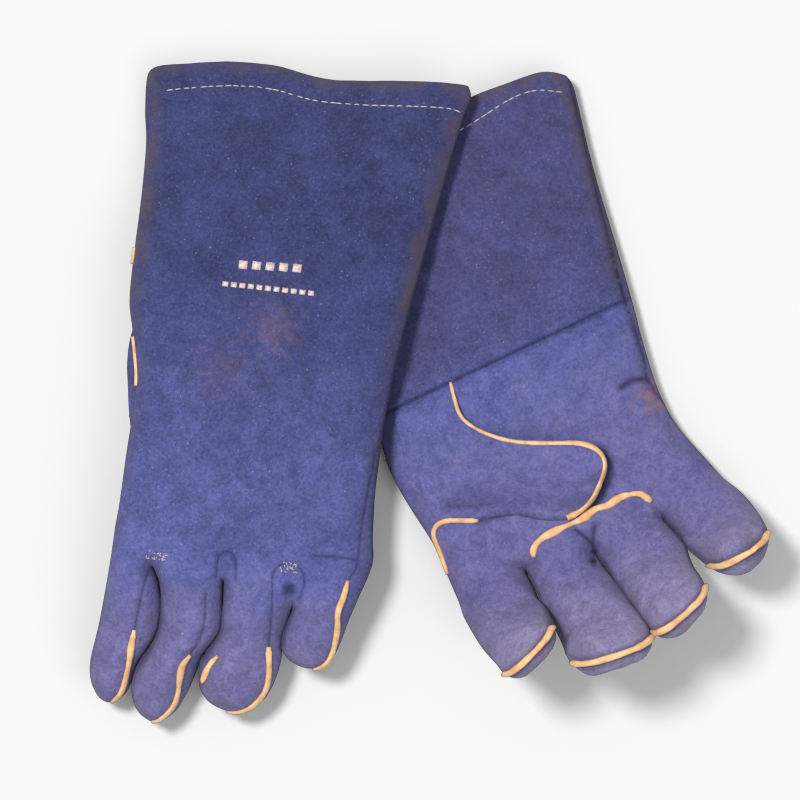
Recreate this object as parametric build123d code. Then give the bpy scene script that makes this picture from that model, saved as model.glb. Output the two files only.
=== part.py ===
"""A pair of gauntlet welding gloves in split leather, lying one across the other.

The right glove lies palm up on the table. The left glove lies palm down, with its cuff across the
right glove's cuff. Each glove is a set of leather panels and welts around a sewn-in lining sock.

Frame: millimetres, +Z up, origin on the table under the middle of the right glove's wrist seam.
Each glove is drawn flat first, in its own lay-flat frame: thumb side at -X, cuff at +Y, fingers at
-Y, back of the hand at Z = 0 and palm at Z = HAND_DEPTH. Then it is put in place.
"""
import os
from math import cos, radians, sin

from build123d import *

# Leather, lining and seams
LEATHER = 1.6                # one ply of split leather
LINING = 2.0                 # fleece and canvas sock
PLY_GAP = 0.2                # air between leather and lining
SEAM_GAP = 0.4               # between two panels that meet edge to edge
WELT_THICKNESS = 1.2         # leather strip held in a seam
WELT_PROUD = 1.2             # how far a welt stands out of its seam
WELT_DEPTH = 1.7             # how far a welt reaches into its seam, just short of the lining
PALM_WELT_WIDTH = 2.4        # a welt folded flat on the palm
FLAT_CUT = 0.1               # shaved off above and below for a true resting face

# Hand and cuff, lying flat
HAND_DEPTH = 22.0            # outside thickness from back to palm
WRIST_WIDTH = 149.0
WAIST_WIDTH = 142.0          # narrowest part of the palm
KNUCKLE_WIDTH = 149.0
MOUTH_WIDTH = 174.0
WAIST_Y = -60.0
KNUCKLE_Y = -119.5           # where the hand ends and the fingers begin
HINGE_Y = -120.0             # line of the finger creases
MOUTH_SHIFT = 7.0            # the cuff leans away from the thumb
HEM_BAND = 14.0              # leather turned in at the mouth
HEM_STITCH_INSET = 11.0      # stitch line below the mouth's edge
STITCH_LENGTH = 3.2
STITCH_PITCH = 4.6
STITCH_WIDTH = 0.7
STITCH_GROOVE = 0.5          # depth of the groove that holds the hem stitches

# Thumb, folded over the palm
THUMB_HINGE = (-38.0, -50.0)
THUMB_YAW = 67.3             # from the finger direction, towards the little finger's side
THUMB_LENGTH = 68.0
THUMB_WIDTH = 36.0
THUMB_DEPTH = 19.0
THUMB_CURL = (0.0, 4.0)
THUMB_LIFT = 0.3             # air between thumb and palm
GUSSET_LENGTH = 36.0
THUMB_PASSAGE = (24.0, 12.0)  # opening from the hand into the gusset

FINGER_DEPTH = 22.0
WELT_START = 0.45            # share of a digit's bend at which its tip welt begins

# Per glove: where it lies, how its fingers curl, and knuckle X, yaw, length, width of each finger
GLOVES = {
    "right": {
        "palm_up": True,
        "origin": (0.0, 0.0, 0.0),
        "yaw": 25.6,
        "cuff_length": 125.0,
        "curl": (14.0, 88.0),
        "fingers": {
            "index": (-56.0, 0.0, 97.0, 33.0),
            "middle": (-19.0, 0.0, 104.0, 33.0),
            "ring": (18.5, 5.5, 98.0, 33.0),
            "little": (56.0, 10.0, 66.0, 32.0),
        },
    },
    "left": {
        "palm_up": False,
        "origin": (-127.8, 19.6, 24.0),
        "yaw": -7.5,
        "cuff_length": 135.0,
        "curl": (4.0, 24.0),
        "fingers": {
            "index": (-56.0, -4.0, 99.0, 29.0),
            "middle": (-22.5, -4.0, 104.0, 30.0),
            "ring": (12.5, -1.5, 97.0, 33.0),
            "little": (52.0, -1.0, 67.0, 32.0),
        },
    },
}

FAR = 500.0                  # larger than any glove, for cutting tools
MID = HAND_DEPTH / 2


# ---------------------------------------------------------------- shared shapes

def slab(x_range, y_range, z_range):
    """A box given by its ranges."""
    size = [high - low for low, high in (x_range, y_range, z_range)]
    centre = [(high + low) / 2 for low, high in (x_range, y_range, z_range)]
    return Pos(*centre) * Box(*size)


def stations(glove):
    """(y, centre x, width) of the flattened hand and cuff, from knuckles to mouth."""
    return [
        (KNUCKLE_Y, 0.0, KNUCKLE_WIDTH),
        (WAIST_Y, -2.0, WAIST_WIDTH),
        (0.0, 1.0, WRIST_WIDTH),
        (glove["cuff_length"], MOUTH_SHIFT, MOUTH_WIDTH),
    ]


def hand_tube(glove, inset):
    """The solid inside the hand's outer surface, moved inwards by inset. Its ends are cut flat."""
    rows = stations(glove)
    sections = []
    for y, x, width in rows:
        plane = Plane(origin=(x, y, MID), x_dir=(1, 0, 0), z_dir=(0, -1, 0))
        sections.append(plane * SlotOverall(width - 2 * inset, HAND_DEPTH - 2 * inset))
    return loft(sections, ruled=True)


def hand_shell(glove, outer_inset, thickness):
    """A flattened tube of one ply."""
    outer = hand_tube(glove, outer_inset)
    return outer - hand_tube(glove, outer_inset + thickness)


def ring_profile(width, depth, inset, thickness):
    """Section of one ply around a digit: a flattened ring."""
    outer = SlotOverall(width - 2 * inset, depth - 2 * inset)
    inner_inset = inset + thickness
    return outer - SlotOverall(width - 2 * inner_inset, depth - 2 * inner_inset)


def upper(profile, clearance):
    """The part of a section above its middle line."""
    return profile & Pos(0, FAR / 2 + clearance) * Rectangle(FAR, FAR)


def lower(profile, clearance):
    """The part of a section below its middle line."""
    return profile & Pos(0, -FAR / 2 - clearance) * Rectangle(FAR, FAR)


def bent_tube(profile, depth, bend_radius, bend, start=0.0):
    """Sweeps a section along an arc that curls towards +Z and closes it with a round tip.

    The digit's frame: crease at the origin on the +Z surface, X across, Y along the digit.
    start and bend are degrees along the arc.
    """
    arc_axis = Axis((0, 0, bend_radius - depth / 2), (1, 0, 0))

    def station(angle):
        a = radians(angle)
        centre = (0, bend_radius * sin(a), bend_radius * (1 - cos(a)) - depth / 2)
        return Plane(origin=centre, x_dir=(1, 0, 0), z_dir=(0, -cos(a), -sin(a)))

    end = station(bend)
    half = profile & Pos(FAR / 2, 0) * Rectangle(FAR, FAR)
    tip = revolve(end * half, Axis(end.origin, end.y_dir), 180)
    body = revolve(station(start) * profile, arc_axis, bend - start)
    return body + tip


def ribbon(points, width):
    """An upright wall of even width along a smooth path, from the glove's middle upwards."""
    return Pos(0, 0, MID) * extrude(trace(Spline(*points), width), HAND_DEPTH)


# ---------------------------------------------------------------- hand and cuff

def thumb_frame():
    """Where the thumb's crease lies in the lay-flat frame: on the thumb's outer surface."""
    a = radians(THUMB_YAW)
    crease = (*THUMB_HINGE, HAND_DEPTH + THUMB_LIFT + THUMB_DEPTH)
    return Plane(origin=crease, x_dir=(-cos(a), -sin(a), 0), z_dir=(0, 0, 1))


def side_welt(glove):
    """Strip in the side seam on the thumb side, from the lower cuff to the gusset."""
    strip = hand_tube(glove, -WELT_PROUD) - hand_tube(glove, WELT_DEPTH)
    low = MID - WELT_THICKNESS / 2
    high = MID + WELT_THICKNESS / 2
    return strip & slab((-FAR, 0), (-44.0, 52.0), (low, high))


def hem_grooves(glove):
    """Two straight grooves round the mouth that the hem stitches lie in."""
    y = glove["cuff_length"] - HEM_STITCH_INSET
    half = MOUTH_WIDTH / 2 - HAND_DEPTH / 2
    x_range = (MOUTH_SHIFT - half, MOUTH_SHIFT + half)
    y_range = (y - STITCH_WIDTH / 2, y + STITCH_WIDTH / 2)
    low = slab(x_range, y_range, (0, STITCH_GROOVE))
    high = slab(x_range, y_range, (HAND_DEPTH - STITCH_GROOVE, HAND_DEPTH))
    return low + high


def hem_stitches(glove):
    """Separate stitches in both grooves, flush with the leather."""
    y = glove["cuff_length"] - HEM_STITCH_INSET
    span = MOUTH_WIDTH - HAND_DEPTH - STITCH_LENGTH
    count = int(span / STITCH_PITCH)
    solids = []
    for level in (STITCH_GROOVE / 2, HAND_DEPTH - STITCH_GROOVE / 2):
        for i in range(count + 1):
            x = MOUTH_SHIFT + (i - count / 2) * STITCH_PITCH
            solids.append(Pos(x, y, level) * Box(STITCH_LENGTH, STITCH_WIDTH, STITCH_GROOVE))
    return Compound(solids)


def outer_form(glove):
    """The glove's outside as a solid, cut flat above and below so that it lies still."""
    return hand_tube(glove, -FLAT_CUT) & slab((-FAR, FAR), (-FAR, FAR), (0, HAND_DEPTH))


def outer_leather(glove):
    """The hand's and cuff's leather before it is cut into panels."""
    shell = outer_form(glove) - hand_tube(glove, LEATHER)
    return shell - side_welt(glove) - hem_grooves(glove)


def gusset_shell():
    """Pocket that carries the thumb's leather down to the palm, open at the thumb's crease."""
    depth = THUMB_DEPTH
    reach = GUSSET_LENGTH - THUMB_WIDTH / 2
    section = Plane(origin=(0, 0, -depth / 2), x_dir=(1, 0, 0), z_dir=(0, 1, 0))

    def pillow(inset, floor):
        profile = SlotOverall(THUMB_WIDTH - 2 * inset, depth - 2 * inset)
        body = extrude(section * profile, -reach)
        end = Plane(origin=(0, -reach, -depth / 2), x_dir=(1, 0, 0), z_dir=(0, 1, 0))
        half = profile & Pos(FAR / 2, 0) * Rectangle(FAR, FAR)
        body += revolve(end * half, Axis(end.origin, (0, 0, -1)), 180)
        if floor:
            plan = SlotOverall(2 * (GUSSET_LENGTH - inset), THUMB_WIDTH - 2 * inset, rotation=90)
            well = extrude(plan, -depth)
            body += well & slab((-FAR, FAR), (-FAR, 0), (-depth, -depth / 2))
        return body

    shell = pillow(0.0, False) - pillow(LEATHER, True)
    return shell & slab((-FAR, FAR), (-FAR, -SEAM_GAP), (-depth, 0))


def thumb_passage():
    """Opening through palm and lining into the gusset."""
    x, y = THUMB_HINGE
    a = radians(THUMB_YAW)
    back = GUSSET_LENGTH / 2 - 1
    centre = (x - back * sin(a), y + back * cos(a))
    slot = SlotOverall(*THUMB_PASSAGE, rotation=THUMB_YAW)
    return Pos(centre[0], centre[1], MID) * extrude(slot, HAND_DEPTH)


def palm_welt(glove, points):
    """A welt that stands on the palm along a smooth path and bends round its edge."""
    on_surface = hand_tube(glove, -WELT_PROUD) - outer_form(glove)
    return (on_surface & ribbon(points, PALM_WELT_WIDTH)).solid()


def finger_base_welts(glove):
    """Welt across the base of the two middle fingers, and the short one below the index finger."""
    across = [(-31, -105), (-27, -99), (-10, -97), (14, -95), (31, -97), (37, -105)]
    below_index = [(-72, -69), (-64, -67), (-52, -72)]
    return Compound([palm_welt(glove, across), palm_welt(glove, below_index)])


def thumb_seam_welt(glove):
    """Welt in the seam between gusset and palm, from the wrist seam down to the thumb."""
    return palm_welt(glove, [(-32, -1), (-35, -11), (-34, -19), (-30, -26)])


def hand_pieces(glove):
    """Every piece of the cuff and hand."""
    length = glove["cuff_length"]
    leather = outer_leather(glove)
    seam_z = MID + WELT_THICKNESS / 2
    above = (seam_z, HAND_DEPTH + 1)
    palm = leather & slab((-FAR, FAR), (-FAR, -SEAM_GAP / 2), above)
    lining = hand_shell(glove, LEATHER + PLY_GAP, LINING)
    lining_top = length - HEM_BAND - SEAM_GAP
    hem = hand_shell(glove, LEATHER + PLY_GAP, LEATHER)
    return {
        "back_panel": leather & slab((-FAR, FAR), (-FAR, FAR), (-1, seam_z)),
        "cuff_front": leather & slab((-FAR, FAR), (SEAM_GAP / 2, FAR), above),
        "palm_panel": palm - thumb_passage(),
        "thumb_gusset": thumb_frame() * gusset_shell(),
        "cuff_hem": hem & slab((-FAR, FAR), (length - HEM_BAND, FAR), (-1, FAR)),
        "hem_stitching": hem_stitches(glove),
        "side_welt": side_welt(glove),
        "thumb_seam_welt": thumb_seam_welt(glove),
        "finger_base_welts": finger_base_welts(glove),
        "lining": (lining & slab((-FAR, FAR), (-FAR, lining_top), (-1, FAR))) - thumb_passage(),
    }


# ---------------------------------------------------------------- fingers and thumb

def digit_frame(x, yaw, width, pitch):
    """Frame of a finger: crease on the palm surface, turned by yaw and curled by pitch."""
    a = radians(yaw)
    y = HINGE_Y - width / 2 * abs(sin(a))
    flat = Plane(origin=(x, y, HAND_DEPTH), x_dir=(-cos(a), -sin(a), 0), z_dir=(0, 0, 1))
    return Location(flat) * Rot(pitch, 0, 0)


def digit_pieces(length, width, depth, bend):
    """Front, back, tip welt and lining of one digit, in its own frame."""
    radius = (length - width / 2) / radians(bend)
    half_welt = WELT_THICKNESS / 2
    leather = ring_profile(width, depth, 0.0, LEATHER)
    sock = ring_profile(width, depth, LEATHER + PLY_GAP, LINING)
    welt_band = Rectangle(width + 2 * WELT_PROUD, WELT_THICKNESS)
    welt_band -= Rectangle(width - 2 * WELT_DEPTH, WELT_THICKNESS)
    welt = bent_tube(welt_band, depth, radius, bend, start=WELT_START * bend)
    back = bent_tube(lower(leather, -half_welt), depth, radius, bend)
    front = bent_tube(upper(leather, half_welt), depth, radius, bend)
    lining = bent_tube(sock, depth, radius, bend)
    return {"back": back - welt, "front": front, "welt": welt, "lining": lining}


def all_digits(glove):
    """{digit: (frame in the lay-flat frame, pieces)} for four fingers and the thumb."""
    start, end = glove["curl"]
    found = {}
    for name, (x, yaw, length, width) in glove["fingers"].items():
        pieces = digit_pieces(length, width, FINGER_DEPTH, end - start)
        found[name] = (digit_frame(x, yaw, width, start), pieces)
    bend = THUMB_CURL[1] - THUMB_CURL[0]
    thumb = digit_pieces(THUMB_LENGTH, THUMB_WIDTH, THUMB_DEPTH, bend)
    # The thumb is folded over, so the side that faces away from the palm is its back.
    thumb["back"], thumb["front"] = thumb["front"], thumb["back"]
    found["thumb"] = (thumb_frame(), thumb)
    return found


# ---------------------------------------------------------------- placing and writing

def place(shape, glove):
    """Moves a piece from the lay-flat frame to where the glove lies."""
    if not glove["palm_up"]:
        shape = mirror(shape, about=Plane(origin=(0, 0, MID), z_dir=(0, 0, 1)))
    return Pos(*glove["origin"]) * Rot(0, 0, glove["yaw"]) * shape


def build_glove(side, glove):
    """{node name: placed shape} for one glove."""
    nodes = {}
    for name, shape in hand_pieces(glove).items():
        nodes[f"{side}_{name}"] = place(shape, glove)
    for digit, (frame, pieces) in all_digits(glove).items():
        for name, shape in pieces.items():
            nodes[f"{side}_{digit}_{name}"] = place(frame * shape, glove)
    return nodes


def main():
    os.makedirs("parts", exist_ok=True)
    for side, glove in GLOVES.items():
        for name, shape in build_glove(side, glove).items():
            export_step(shape, f"parts/{name}.step")


if __name__ == "__main__":
    main()
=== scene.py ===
import math

import bpy
import numpy as np
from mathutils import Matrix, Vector
from mathutils.geometry import delaunay_2d_cdt


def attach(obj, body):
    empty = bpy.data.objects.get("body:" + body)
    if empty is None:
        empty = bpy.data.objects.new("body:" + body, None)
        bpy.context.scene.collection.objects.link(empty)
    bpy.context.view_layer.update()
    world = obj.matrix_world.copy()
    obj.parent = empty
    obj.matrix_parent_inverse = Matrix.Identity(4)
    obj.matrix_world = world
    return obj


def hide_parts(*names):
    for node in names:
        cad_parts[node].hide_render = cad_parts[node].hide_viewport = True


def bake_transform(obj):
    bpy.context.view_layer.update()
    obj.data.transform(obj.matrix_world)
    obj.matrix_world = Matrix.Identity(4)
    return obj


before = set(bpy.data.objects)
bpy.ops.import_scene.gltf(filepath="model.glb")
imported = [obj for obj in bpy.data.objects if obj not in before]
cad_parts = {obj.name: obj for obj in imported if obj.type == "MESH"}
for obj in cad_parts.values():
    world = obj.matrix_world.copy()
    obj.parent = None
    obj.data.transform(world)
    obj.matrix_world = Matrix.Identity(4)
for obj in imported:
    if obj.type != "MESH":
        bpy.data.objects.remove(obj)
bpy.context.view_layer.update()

# Plan coordinates are each glove's own lay-flat frame, in millimetres: thumb side at -X, cuff at +Y,
# fingers at -Y, wrist seam on Y = 0. "side" is +1 for the surface that faces up and -1 for the other.

MM = 0.001                   # the scene is in metres
CUT_Y = -110.0               # the hand's mesh ends and the finger meshes begin
BLEND_END = -134.0           # beyond this line a finger's mesh follows only its own body
LEATHER = 1.7
THUMB_LEATHER = 1.2
HEM = 3.6                    # doubled leather at the mouth
HEM_BAND = 14.0
SEWN = 0.02                  # points nearer the outline than this lie on the sewn edge
HEM_PITCH = 4.5              # from one stitch to the next
HEM_STITCH = 3.7
HEM_THREAD = 0.3
LINING_INSET = 3.4           # from the sewn edge
LINING_DEPTH = 2.6           # under the leather's surface
LINING_COLUMNS = 41
FLEECE = 1.6
FOIL_SHEET = 0.2
GRID = 2.1
EDGE_STEP = 2.2

# Each hand's edge runs down the thumb side, round every fingertip, back up the little finger's side and
# along the mouth. A valley is the line on which two fingers touch, from the crotch to where they part.

LEFT_THUMB_SIDE = [
    (-84.4, 120), (-82.6, 104), (-79.8, 88), (-77.8, 56), (-76.5, 29), (-74.8, 2), (-71.5, -12),
    (-68.2, -25), (-65.2, -40), (-65, -55), (-65.6, -80), (-65.8, -106), (-66.3, -138), (-68.3, -171),
]
LEFT_TIPS = {
    "index": [(-71.3, -197), (-68, -212), (-61, -218.2), (-52.5, -213.5), (-48.4, -203)],
    "middle": [
        (-47.4, -201), (-47, -210), (-43.5, -219.5), (-34.5, -225.8), (-25, -220.5), (-19.5, -210),
        (-15.5, -197),
    ],
    "ring": [
        (-11.3, -196.5), (-9, -204), (-2.5, -210.3), (9.5, -214), (18.5, -210.3), (24.2, -204),
        (28, -194), (29.8, -183),
    ],
    "little": [
        (35, -179), (43, -182.8), (51, -182.3), (57, -178), (60.3, -169), (63.6, -154), (66.8, -141.5),
    ],
}
LEFT_VALLEYS = [
    [(-43.6, -138.5), (-39.7, -146), (-37.2, -158), (-37, -171), (-40, -181), (-45.6, -192)],
    [(-5, -143.5), (-4, -157), (-3.7, -168), (-6.8, -175.5), (-12.0, -185)],
    [(33, -151), (32, -157), (30, -166), (30.2, -173)],
]
LEFT_LITTLE_SIDE = [
    (71.8, -122), (70.8, -105), (69.4, -88), (69.1, -71.7), (69.3, -44.4), (71.2, -17), (75, 16.2),
    (83.3, 77.2), (90, 122), (92.7, 131.5),
]
LEFT_MOUTH = [
    (92.7, 131.5), (91.6, 137.4), (86.5, 140.0), (53.5, 138.2), (16, 134.8), (-14.5, 138.9), (-39, 138.4),
    (-60, 134.6), (-76, 131.4), (-82.8, 127.6), (-84.4, 120),
]
LEFT_AXES = {
    "index": (-54, -61, -216), "middle": (-23, -34, -224), "ring": (13, 9, -214), "little": (51, 48, -183),
}

RIGHT_THUMB_SIDE = [
    (-80, 124), (-76, 60), (-73, 14), (-74.5, 2), (-79.5, -11), (-82.3, -26), (-82.3, -41), (-80.8, -56),
    (-79, -70), (-78.2, -82), (-79, -95.5), (-79.5, -108), (-79.5, -122), (-78, -145),
]
RIGHT_TIPS = {
    "index": [(-75, -165), (-73.5, -180), (-68.5, -190.5), (-58, -195.5), (-47.5, -191.5), (-41.5, -184)],
    "middle": [
        (-38.5, -188), (-35.5, -199), (-28, -205), (-17, -206.5), (-7, -205), (0, -199.5), (3.2, -192),
    ],
    "ring": [
        (6.6, -192), (11.5, -198), (19, -201), (27.5, -201), (35.2, -197), (39.8, -186), (41, -172),
        (40.9, -158), (41.8, -147.5),
    ],
    "little": [
        (46.6, -147.5), (48.6, -156), (51, -165), (55.5, -172), (62.5, -175.8), (71, -176),
        (78.5, -171.5), (83.5, -162), (85.3, -150), (85.5, -137),
    ],
}
RIGHT_VALLEYS = [
    [(-39.5, -113), (-39.2, -122), (-39.6, -135), (-38.6, -150), (-38.9, -168), (-39.8, -178)],
    [(-1, -119), (0.2, -130), (1.8, -145), (3.2, -160), (4.4, -175), (4.8, -184)],
    [(40.5, -119), (42.6, -128), (43.8, -138)],
]
RIGHT_LITTLE_SIDE = [
    (84, -125), (80, -112), (76.5, -99), (71, -80), (68.8, -66), (69, -50), (71, -35), (73.5, -20),
    (77, -2), (83.4, 36.7), (87.8, 64.5), (92.0, 86.3), (98.6, 116),
]
RIGHT_MOUTH = [
    (98.6, 116), (98.4, 121.5), (95.8, 126), (85.2, 132.2), (65, 134.7), (42, 136.2), (0, 134.5),
    (-40, 130.5), (-80, 124),
]
RIGHT_AXES = {
    "index": (-58, -58, -195), "middle": (-19, -17, -206), "ring": (22, 24, -201), "little": (65, 68, -176),
}

# Seams and creases drawn on the back of a glove
BACK_SEAMS = [
    [(60.5, -131), (64, -123.5), (64.5, -105), (66, -72), (69, -46)],
    [(42.5, -120.5), (53, -119.8), (63, -120)],
    [(-44, -137.5), (-46.5, -144), (-49, -162), (-50.5, -171.5)],
    [(-14, -147.5), (-13.5, -161.5), (-15.5, -172.5), (-20, -181.5)],
    [(20.5, -133.5), (22, -148.5), (22, -159), (22, -172.5)],
    [(-9, -138), (-9, -128), (-4.5, -123.8), (0.3, -127), (2, -138)],
    [(20.5, -133.5), (23, -128), (29.5, -126), (36, -128.5), (38.5, -135), (37, -142.5)],
]
# Tip welts on the back's fingers
BACK_WELTS = {
    "index": [[(-50.5, -171.5), (-51.5, -181), (-52.3, -191), (-53.3, -200), (-55, -208), (-59, -215)]],
    "middle": [[
        (-20, -181.5), (-23.5, -186), (-24.5, -194), (-24.7, -206), (-27.5, -214.5), (-35.5, -222.5)
    ]],
    "ring": [[
        (22, -172.5), (22.7, -180), (23.2, -188), (22.8, -196.5), (20, -203.5), (14, -209.5), (5, -213)
    ],
             [(-3.5, -179.5), (-7.3, -184.5), (-9, -190), (-10, -195)]],
    "little": [[
        (60.5, -131), (59.3, -139), (56.8, -147), (57.2, -156.5), (56.7, -166.5), (56, -172),
        (53.5, -178), (48, -182)
    ]],
}

# Seams and welts drawn on the palm of a glove
WRIST_SEAM = [(-90, 1), (-30, 1), (20, 0.5), (90, 0)]
PALM_SIDE_SEAM = [
    (101, 131), (96.5, 114.5), (89.5, 82), (81, 41.5), (74, 6.5), (69.5, -28), (65.8, -42), (66, -50),
    (69, -62),
]
THUMB_TOP = [
    (-31.5, 0.5), (-33.5, -8.5), (-34.5, -18), (-30.5, -27), (-23, -35.5), (-15, -42), (-6.5, -47),
    (5.5, -52.8), (16, -58), (22.5, -64), (24.8, -71), (22.5, -77.5), (16.5, -84), (10, -89.5), (2, -93),
    (-8.5, -93.5),
]
THUMB_FOOT = [(-8.5, -93.5), (-20, -88), (-31, -80), (-44, -75.5), (-52, -73.5)]
INDEX_BASE_WELT = [
    (-78.2, -93), (-77.4, -86), (-76.8, -79), (-76.6, -72.5), (-75.2, -68.3), (-72, -65.7),
    (-68.5, -65.6), (-64, -67), (-56, -71), (-51, -73.5),
]
MIDDLE_BASE_WELT = [
    (-32, -105), (-30.5, -100), (-25, -97), (-17, -96.5), (-8.5, -96.5), (1, -97), (8.5, -95),
    (16, -96.5), (23, -95.2), (29, -96), (34.5, -98), (36.7, -101.5), (37.7, -106),
]
THUMB_CREASE = [(-62, -60.5), (-54, -63.5), (-47, -67.5)]
# Each: line, depth, width
PALM_FOLDS = [
    ([(-51, -73.5), (-44, -74.8), (-37.5, -77), (-33, -75.5)], 1.6, 1.4),
    (THUMB_CREASE, 1.2, 2.2),
    ([(50, -42), (57, -40.5), (66, -44)], 1.4, 1.7),
    ([(28, -10), (42, -6), (56, -5)], 0.6, 2.8),
    ([(46, -22), (55, -16), (66, -13)], 0.5, 3.0),
    ([(-62, -92), (-52, -97), (-44, -104)], 0.5, 2.4),
    ([(-70, -106), (-58, -110), (-48, -113)], 0.4, 2.4),
    ([(-5.5, -101), (-3, -107), (-0.5, -114)], 1.3, 0.9),
    ([(5, -104.5), (2, -110), (-0.5, -116)], 1.3, 0.9),
    ([(-1, -118), (-4, -123.5), (-5.5, -128.5)], 1.3, 1.3),
]
THUMB_ROOT = np.array([-38.0, -50.0])
THUMB_DIRECTION = np.array([0.9225, -0.3859])
THUMB_JOINT = (-14, 8)       # where along the thumb its bending starts and ends
THUMB_JOINT_HEIGHT = 9       # over the palm
THUMB_RIM_START = [(-52, -73.5), (-60, -69.8)]
THUMB_RIM_END = [(-66.5, -2), (-50, -2.2), (-36, -2.0), (-31.5, 0.5)]
SIDE_FIN_SPANS = ((-46.0, -17.0), (17.0, 31.0))

# Painted shade and wear marks: columns of the vertex attribute, and rusty spots as place, size, strength
PAINTED_SHADE, STAIN = 0, 2
PALM_SPOTS = [((63.5, -56), 4.5, 1.5), ((62, -50), 9, 0.4)]
BACK_SPOTS = [((5, -3), 10, 0.3), ((-20, -30), 14, 0.15)]
# The leather's blue, from unworn to rubbed pale
NAP_SHADES = [
    (0.0, (0.026, 0.030, 0.085, 1)),
    (0.18, (0.046, 0.052, 0.148, 1)),
    (0.36, (0.082, 0.088, 0.250, 1)),
    (0.57, (0.124, 0.113, 0.250, 1)),
    (0.79, (0.178, 0.153, 0.288, 1)),
    (1.0, (0.235, 0.207, 0.345, 1)),
]

# Finger, place, half size and number of stitches
BARTACKS = [("index", (-41, -131), (10, 3.2), 34), ("ring", (29, -128), (8, 4), 28)]

# Camera and lamps, in metres
CAMERA_PLACE = (-0.0567, -0.0227, 1.15)
SENSOR = 36                  # millimetres
VIEW_DISTANCE = 1.125        # from the camera down to the plane that fills the view
VIEW_WIDTH = 0.432
LIGHT_AIM = (-0.05, -0.02, 0.0)

FINGERS = ("index", "middle", "ring", "little")
HALF_GAP = 0.45              # between two fingers that touch, in the plan
FINGER_SQUEEZE = 0.045       # how much wider the stuffed fingers are, so that neighbours press together
BEND_RAMP = 26.0             # length over which a finger leaves the palm's plane
# Half thickness of the stuffed glove on each side: at the cuff, and what the hand and the fingers add
STUFFING = {1: (7.5, 2.5, 1.3), -1: (6.5, 1.5, 2.0)}
# The part of the left glove that its own thumb or the other cuff holds up
HELD_UP = [(-95, -245), (110, -245), (110, 128), (-5.8, 58), (-42, 12), (-95, -8)]
LEFT_LIFT = 33.0             # height of the glove's middle where it is held up
LEFT_CUFF_DROP = 6.0
LEFT_EDGE_DROP = 18.0
RIGHT_LIFT = 9.2             # the right glove lies flat on the table

GLOVES = {
    "left": {
        "palm_up": False, "origin": (-127.8, 19.6), "yaw": -7.5, "bend_from": -112.0, "seed": 12,
        "thumb_side": LEFT_THUMB_SIDE, "tips": LEFT_TIPS, "valleys": LEFT_VALLEYS,
        "little_side": LEFT_LITTLE_SIDE, "mouth": LEFT_MOUTH, "axes": LEFT_AXES,
        "hem": [(-74, 117.5), (-58.5, 121), (-37.5, 125), (-15.5, 125.3), (17.5, 121.5), (55, 124.2),
                (80, 126), (88.5, 125)],
        "curl": {"index": (5, 21), "middle": (5, 20), "ring": (5, 19), "little": (5, 19)},
        "twist": {"index": -13, "middle": -14, "ring": -12, "little": -10},
        # Where the leather dips at a crotch: place, radius, depth
        "pits": [((30.5, -139), 5.5, 3.2), ((-43.5, -140), 3.2, 1.6), ((-5, -141), 3.5, 1.8)],
        "thumb_rim": [(-64, -68), (-67.2, -60), (-69.8, -47), (-72.2, -31), (-71.5, -16)],
    },
    "right": {
        "palm_up": True, "origin": (0.0, 0.0), "yaw": 25.6, "bend_from": -98.0, "seed": 11,
        "thumb_side": RIGHT_THUMB_SIDE, "tips": RIGHT_TIPS, "valleys": RIGHT_VALLEYS,
        "little_side": RIGHT_LITTLE_SIDE, "mouth": RIGHT_MOUTH, "axes": RIGHT_AXES,
        "hem": [(-74, 115), (-20, 120.5), (10, 122.3), (36.5, 122.8), (61.5, 125.6), (73, 125.4),
                (81.5, 122.8), (92.5, 116.5)],
        "curl": {"index": (52, 88), "middle": (33, 86), "ring": (35, 86), "little": (35, 84)},
        "twist": {"index": 19, "middle": -7, "ring": 16, "little": 6},
        "pits": [((-1.0, -118), 3.4, 4.5), ((-4.2, -123.5), 3.4, 4.2), ((-39.5, -110), 4.0, 1.8),
                 ((39.5, -115), 4.0, 1.6)],
        "thumb_rim": [(-68, -66), (-72.5, -60), (-73, -45), (-72.5, -30), (-70, -14)],
    },
}


# ---------------------------------------------------------------- plan geometry

def smooth(low, high, x):
    """0 at low and 1 at high, with soft ends."""
    t = np.clip((np.asarray(x, float) - low) / (high - low), 0, 1)
    return t * t * (3 - 2 * t)


def bell(distance, width):
    return np.exp(-((distance / width) ** 2))


def dome(share):
    """Height of a quarter circle, from 0 at its edge to 1 at its middle."""
    return np.sqrt(np.clip(1 - (1 - share) ** 2, 0, 1))


def unit(vectors):
    return vectors / np.maximum(np.linalg.norm(vectors, axis=1), 1e-9)[:, None]


def quarter_turn(vectors):
    return np.column_stack([-vectors[:, 1], vectors[:, 0]])


def across(line):
    """Unit vectors at right angles to a plan line."""
    return unit(quarter_turn(np.gradient(line, axis=0)))


def closed(line):
    return np.vstack([line, line[:1]])


def run_along(line):
    """How far along a line each of its points is."""
    return np.concatenate([[0], np.cumsum(np.linalg.norm(np.diff(line, axis=0), axis=1))])


def along(line, places):
    """The points at the given distances along a line."""
    run = run_along(line)
    return np.column_stack([np.interp(places, run, line[:, i]) for i in range(line.shape[1])])


def spline(points, step):
    """Even points along a smooth curve through the given points."""
    p = np.array(points, float)
    ends = np.vstack([2 * p[0] - p[1], p, 2 * p[-1] - p[-2]])
    t = np.linspace(0, 1, 24, endpoint=False)[:, None]
    out = []
    for a, b, c, d in zip(ends, ends[1:], ends[2:], ends[3:]):
        curve = (c - a) * t + (2 * a - 5 * b + 4 * c - d) * t**2 + (3 * b - a - 3 * c + d) * t**3
        out.append(0.5 * (2 * b + curve))
    out = np.vstack(out + [p[-1:]])
    total = run_along(out)[-1]
    count = max(2, int(round(total / step)) + 1)
    return along(out, np.linspace(0, total, count))


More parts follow.
